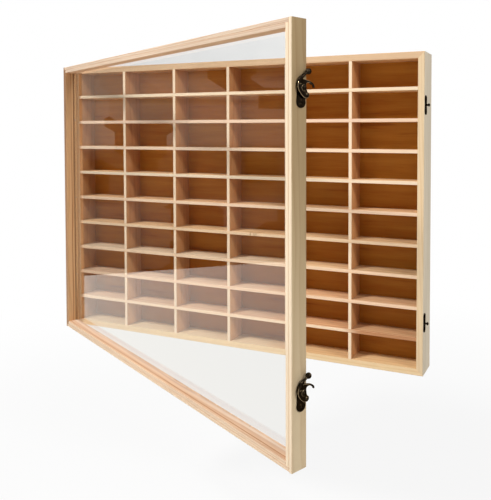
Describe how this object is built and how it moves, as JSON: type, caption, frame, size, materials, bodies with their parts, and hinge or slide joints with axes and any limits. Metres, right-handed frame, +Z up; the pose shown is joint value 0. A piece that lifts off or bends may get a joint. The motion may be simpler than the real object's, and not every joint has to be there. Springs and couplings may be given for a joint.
{
  "type": "wall display case",
  "caption": "Shallow pine wall case with a lattice of small compartments behind a hinged, glazed door with two swing hook latches.",
  "frame": {"origin": "the middle of the case's flat back, in the plane of the wall", "axes": "+Z up, -Y out of the front, +X to the right as seen from the front"},
  "size_m": [0.6143, 0.3075, 0.4332],
  "materials": {
    "case_pine": "clear satin lacquer over pine",
    "lattice_pine": "clear satin lacquer over pine",
    "door_pine": "clear satin lacquer over pine",
    "bead_pine": "clear satin lacquer over pine",
    "back_panel": "brown stained plywood",
    "pane": "clear polished sheet",
    "bronze": "darkened antique bronze",
    "steel": "plain",
    "zinc_plate": "zinc plated"
  },
  "bodies": {
    "case": {"case_top_panel": "case_pine", "case_bottom_panel": "case_pine", "case_left_panel": "case_pine", "case_right_panel": "case_pine", "back_panel": "back_panel", "back_panel_brads": "steel", "shelf_1": "lattice_pine", "shelf_2": "lattice_pine", "shelf_3": "lattice_pine", "shelf_4": "lattice_pine", "shelf_5": "lattice_pine", "shelf_6": "lattice_pine", "shelf_7": "lattice_pine", "shelf_8": "lattice_pine", "shelf_9": "lattice_pine", "divider_1": "lattice_pine", "divider_2": "lattice_pine", "divider_3": "lattice_pine", "divider_4": "lattice_pine", "divider_5": "lattice_pine", "catch_plate_upper": "bronze", "catch_plate_lower": "bronze", "catch_studs": "bronze", "catch_screws": "bronze", "hinge_case_leaf_upper": "bronze", "hinge_case_leaf_lower": "bronze", "hinge_pin_upper": "bronze", "hinge_pin_lower": "bronze", "hinge_case_screws": "bronze", "hanger_plate_left": "zinc_plate", "hanger_plate_right": "zinc_plate", "hanger_screws": "steel"},
    "door": {"door_top_rail": "door_pine", "door_bottom_rail": "door_pine", "door_hinge_stile": "door_pine", "door_latch_stile": "door_pine", "pane": "pane", "pane_bead_top": "bead_pine", "pane_bead_bottom": "bead_pine", "pane_bead_hinge_side": "bead_pine", "pane_bead_latch_side": "bead_pine", "pane_slat_top": "bead_pine", "pane_slat_bottom": "bead_pine", "pane_slat_hinge_side": "bead_pine", "pane_slat_latch_side": "bead_pine", "pane_slat_brads": "steel", "hinge_door_leaf_upper": "bronze", "hinge_door_leaf_lower": "bronze", "hinge_door_screws": "bronze", "latch_plate_upper": "bronze", "latch_plate_lower": "bronze", "latch_rivets": "bronze", "latch_screws": "bronze"},
    "upper_hook": {"latch_hook_upper": "bronze"},
    "lower_hook": {"latch_hook_lower": "bronze"}
  },
  "joints": [
    {"name": "door_hinge", "type": "hinge", "parent": "case", "child": "door", "pos_m": [-0.303, -0.0402, 0], "axis": [0, 0, -1], "range_deg": [-24.6, 155.4]},
    {"name": "upper_hook_pivot", "type": "hinge", "parent": "door", "child": "upper_hook", "pos_m": [0.24514, -0.29798, 0.1506], "axis": [0.9092, -0.4163, 0], "range_deg": [-38.05, 12]},
    {"name": "lower_hook_pivot", "type": "hinge", "parent": "door", "child": "lower_hook", "pos_m": [0.24514, -0.29798, -0.1406], "axis": [0.9092, -0.4163, 0], "range_deg": [-37.05, 12]}
  ]
}
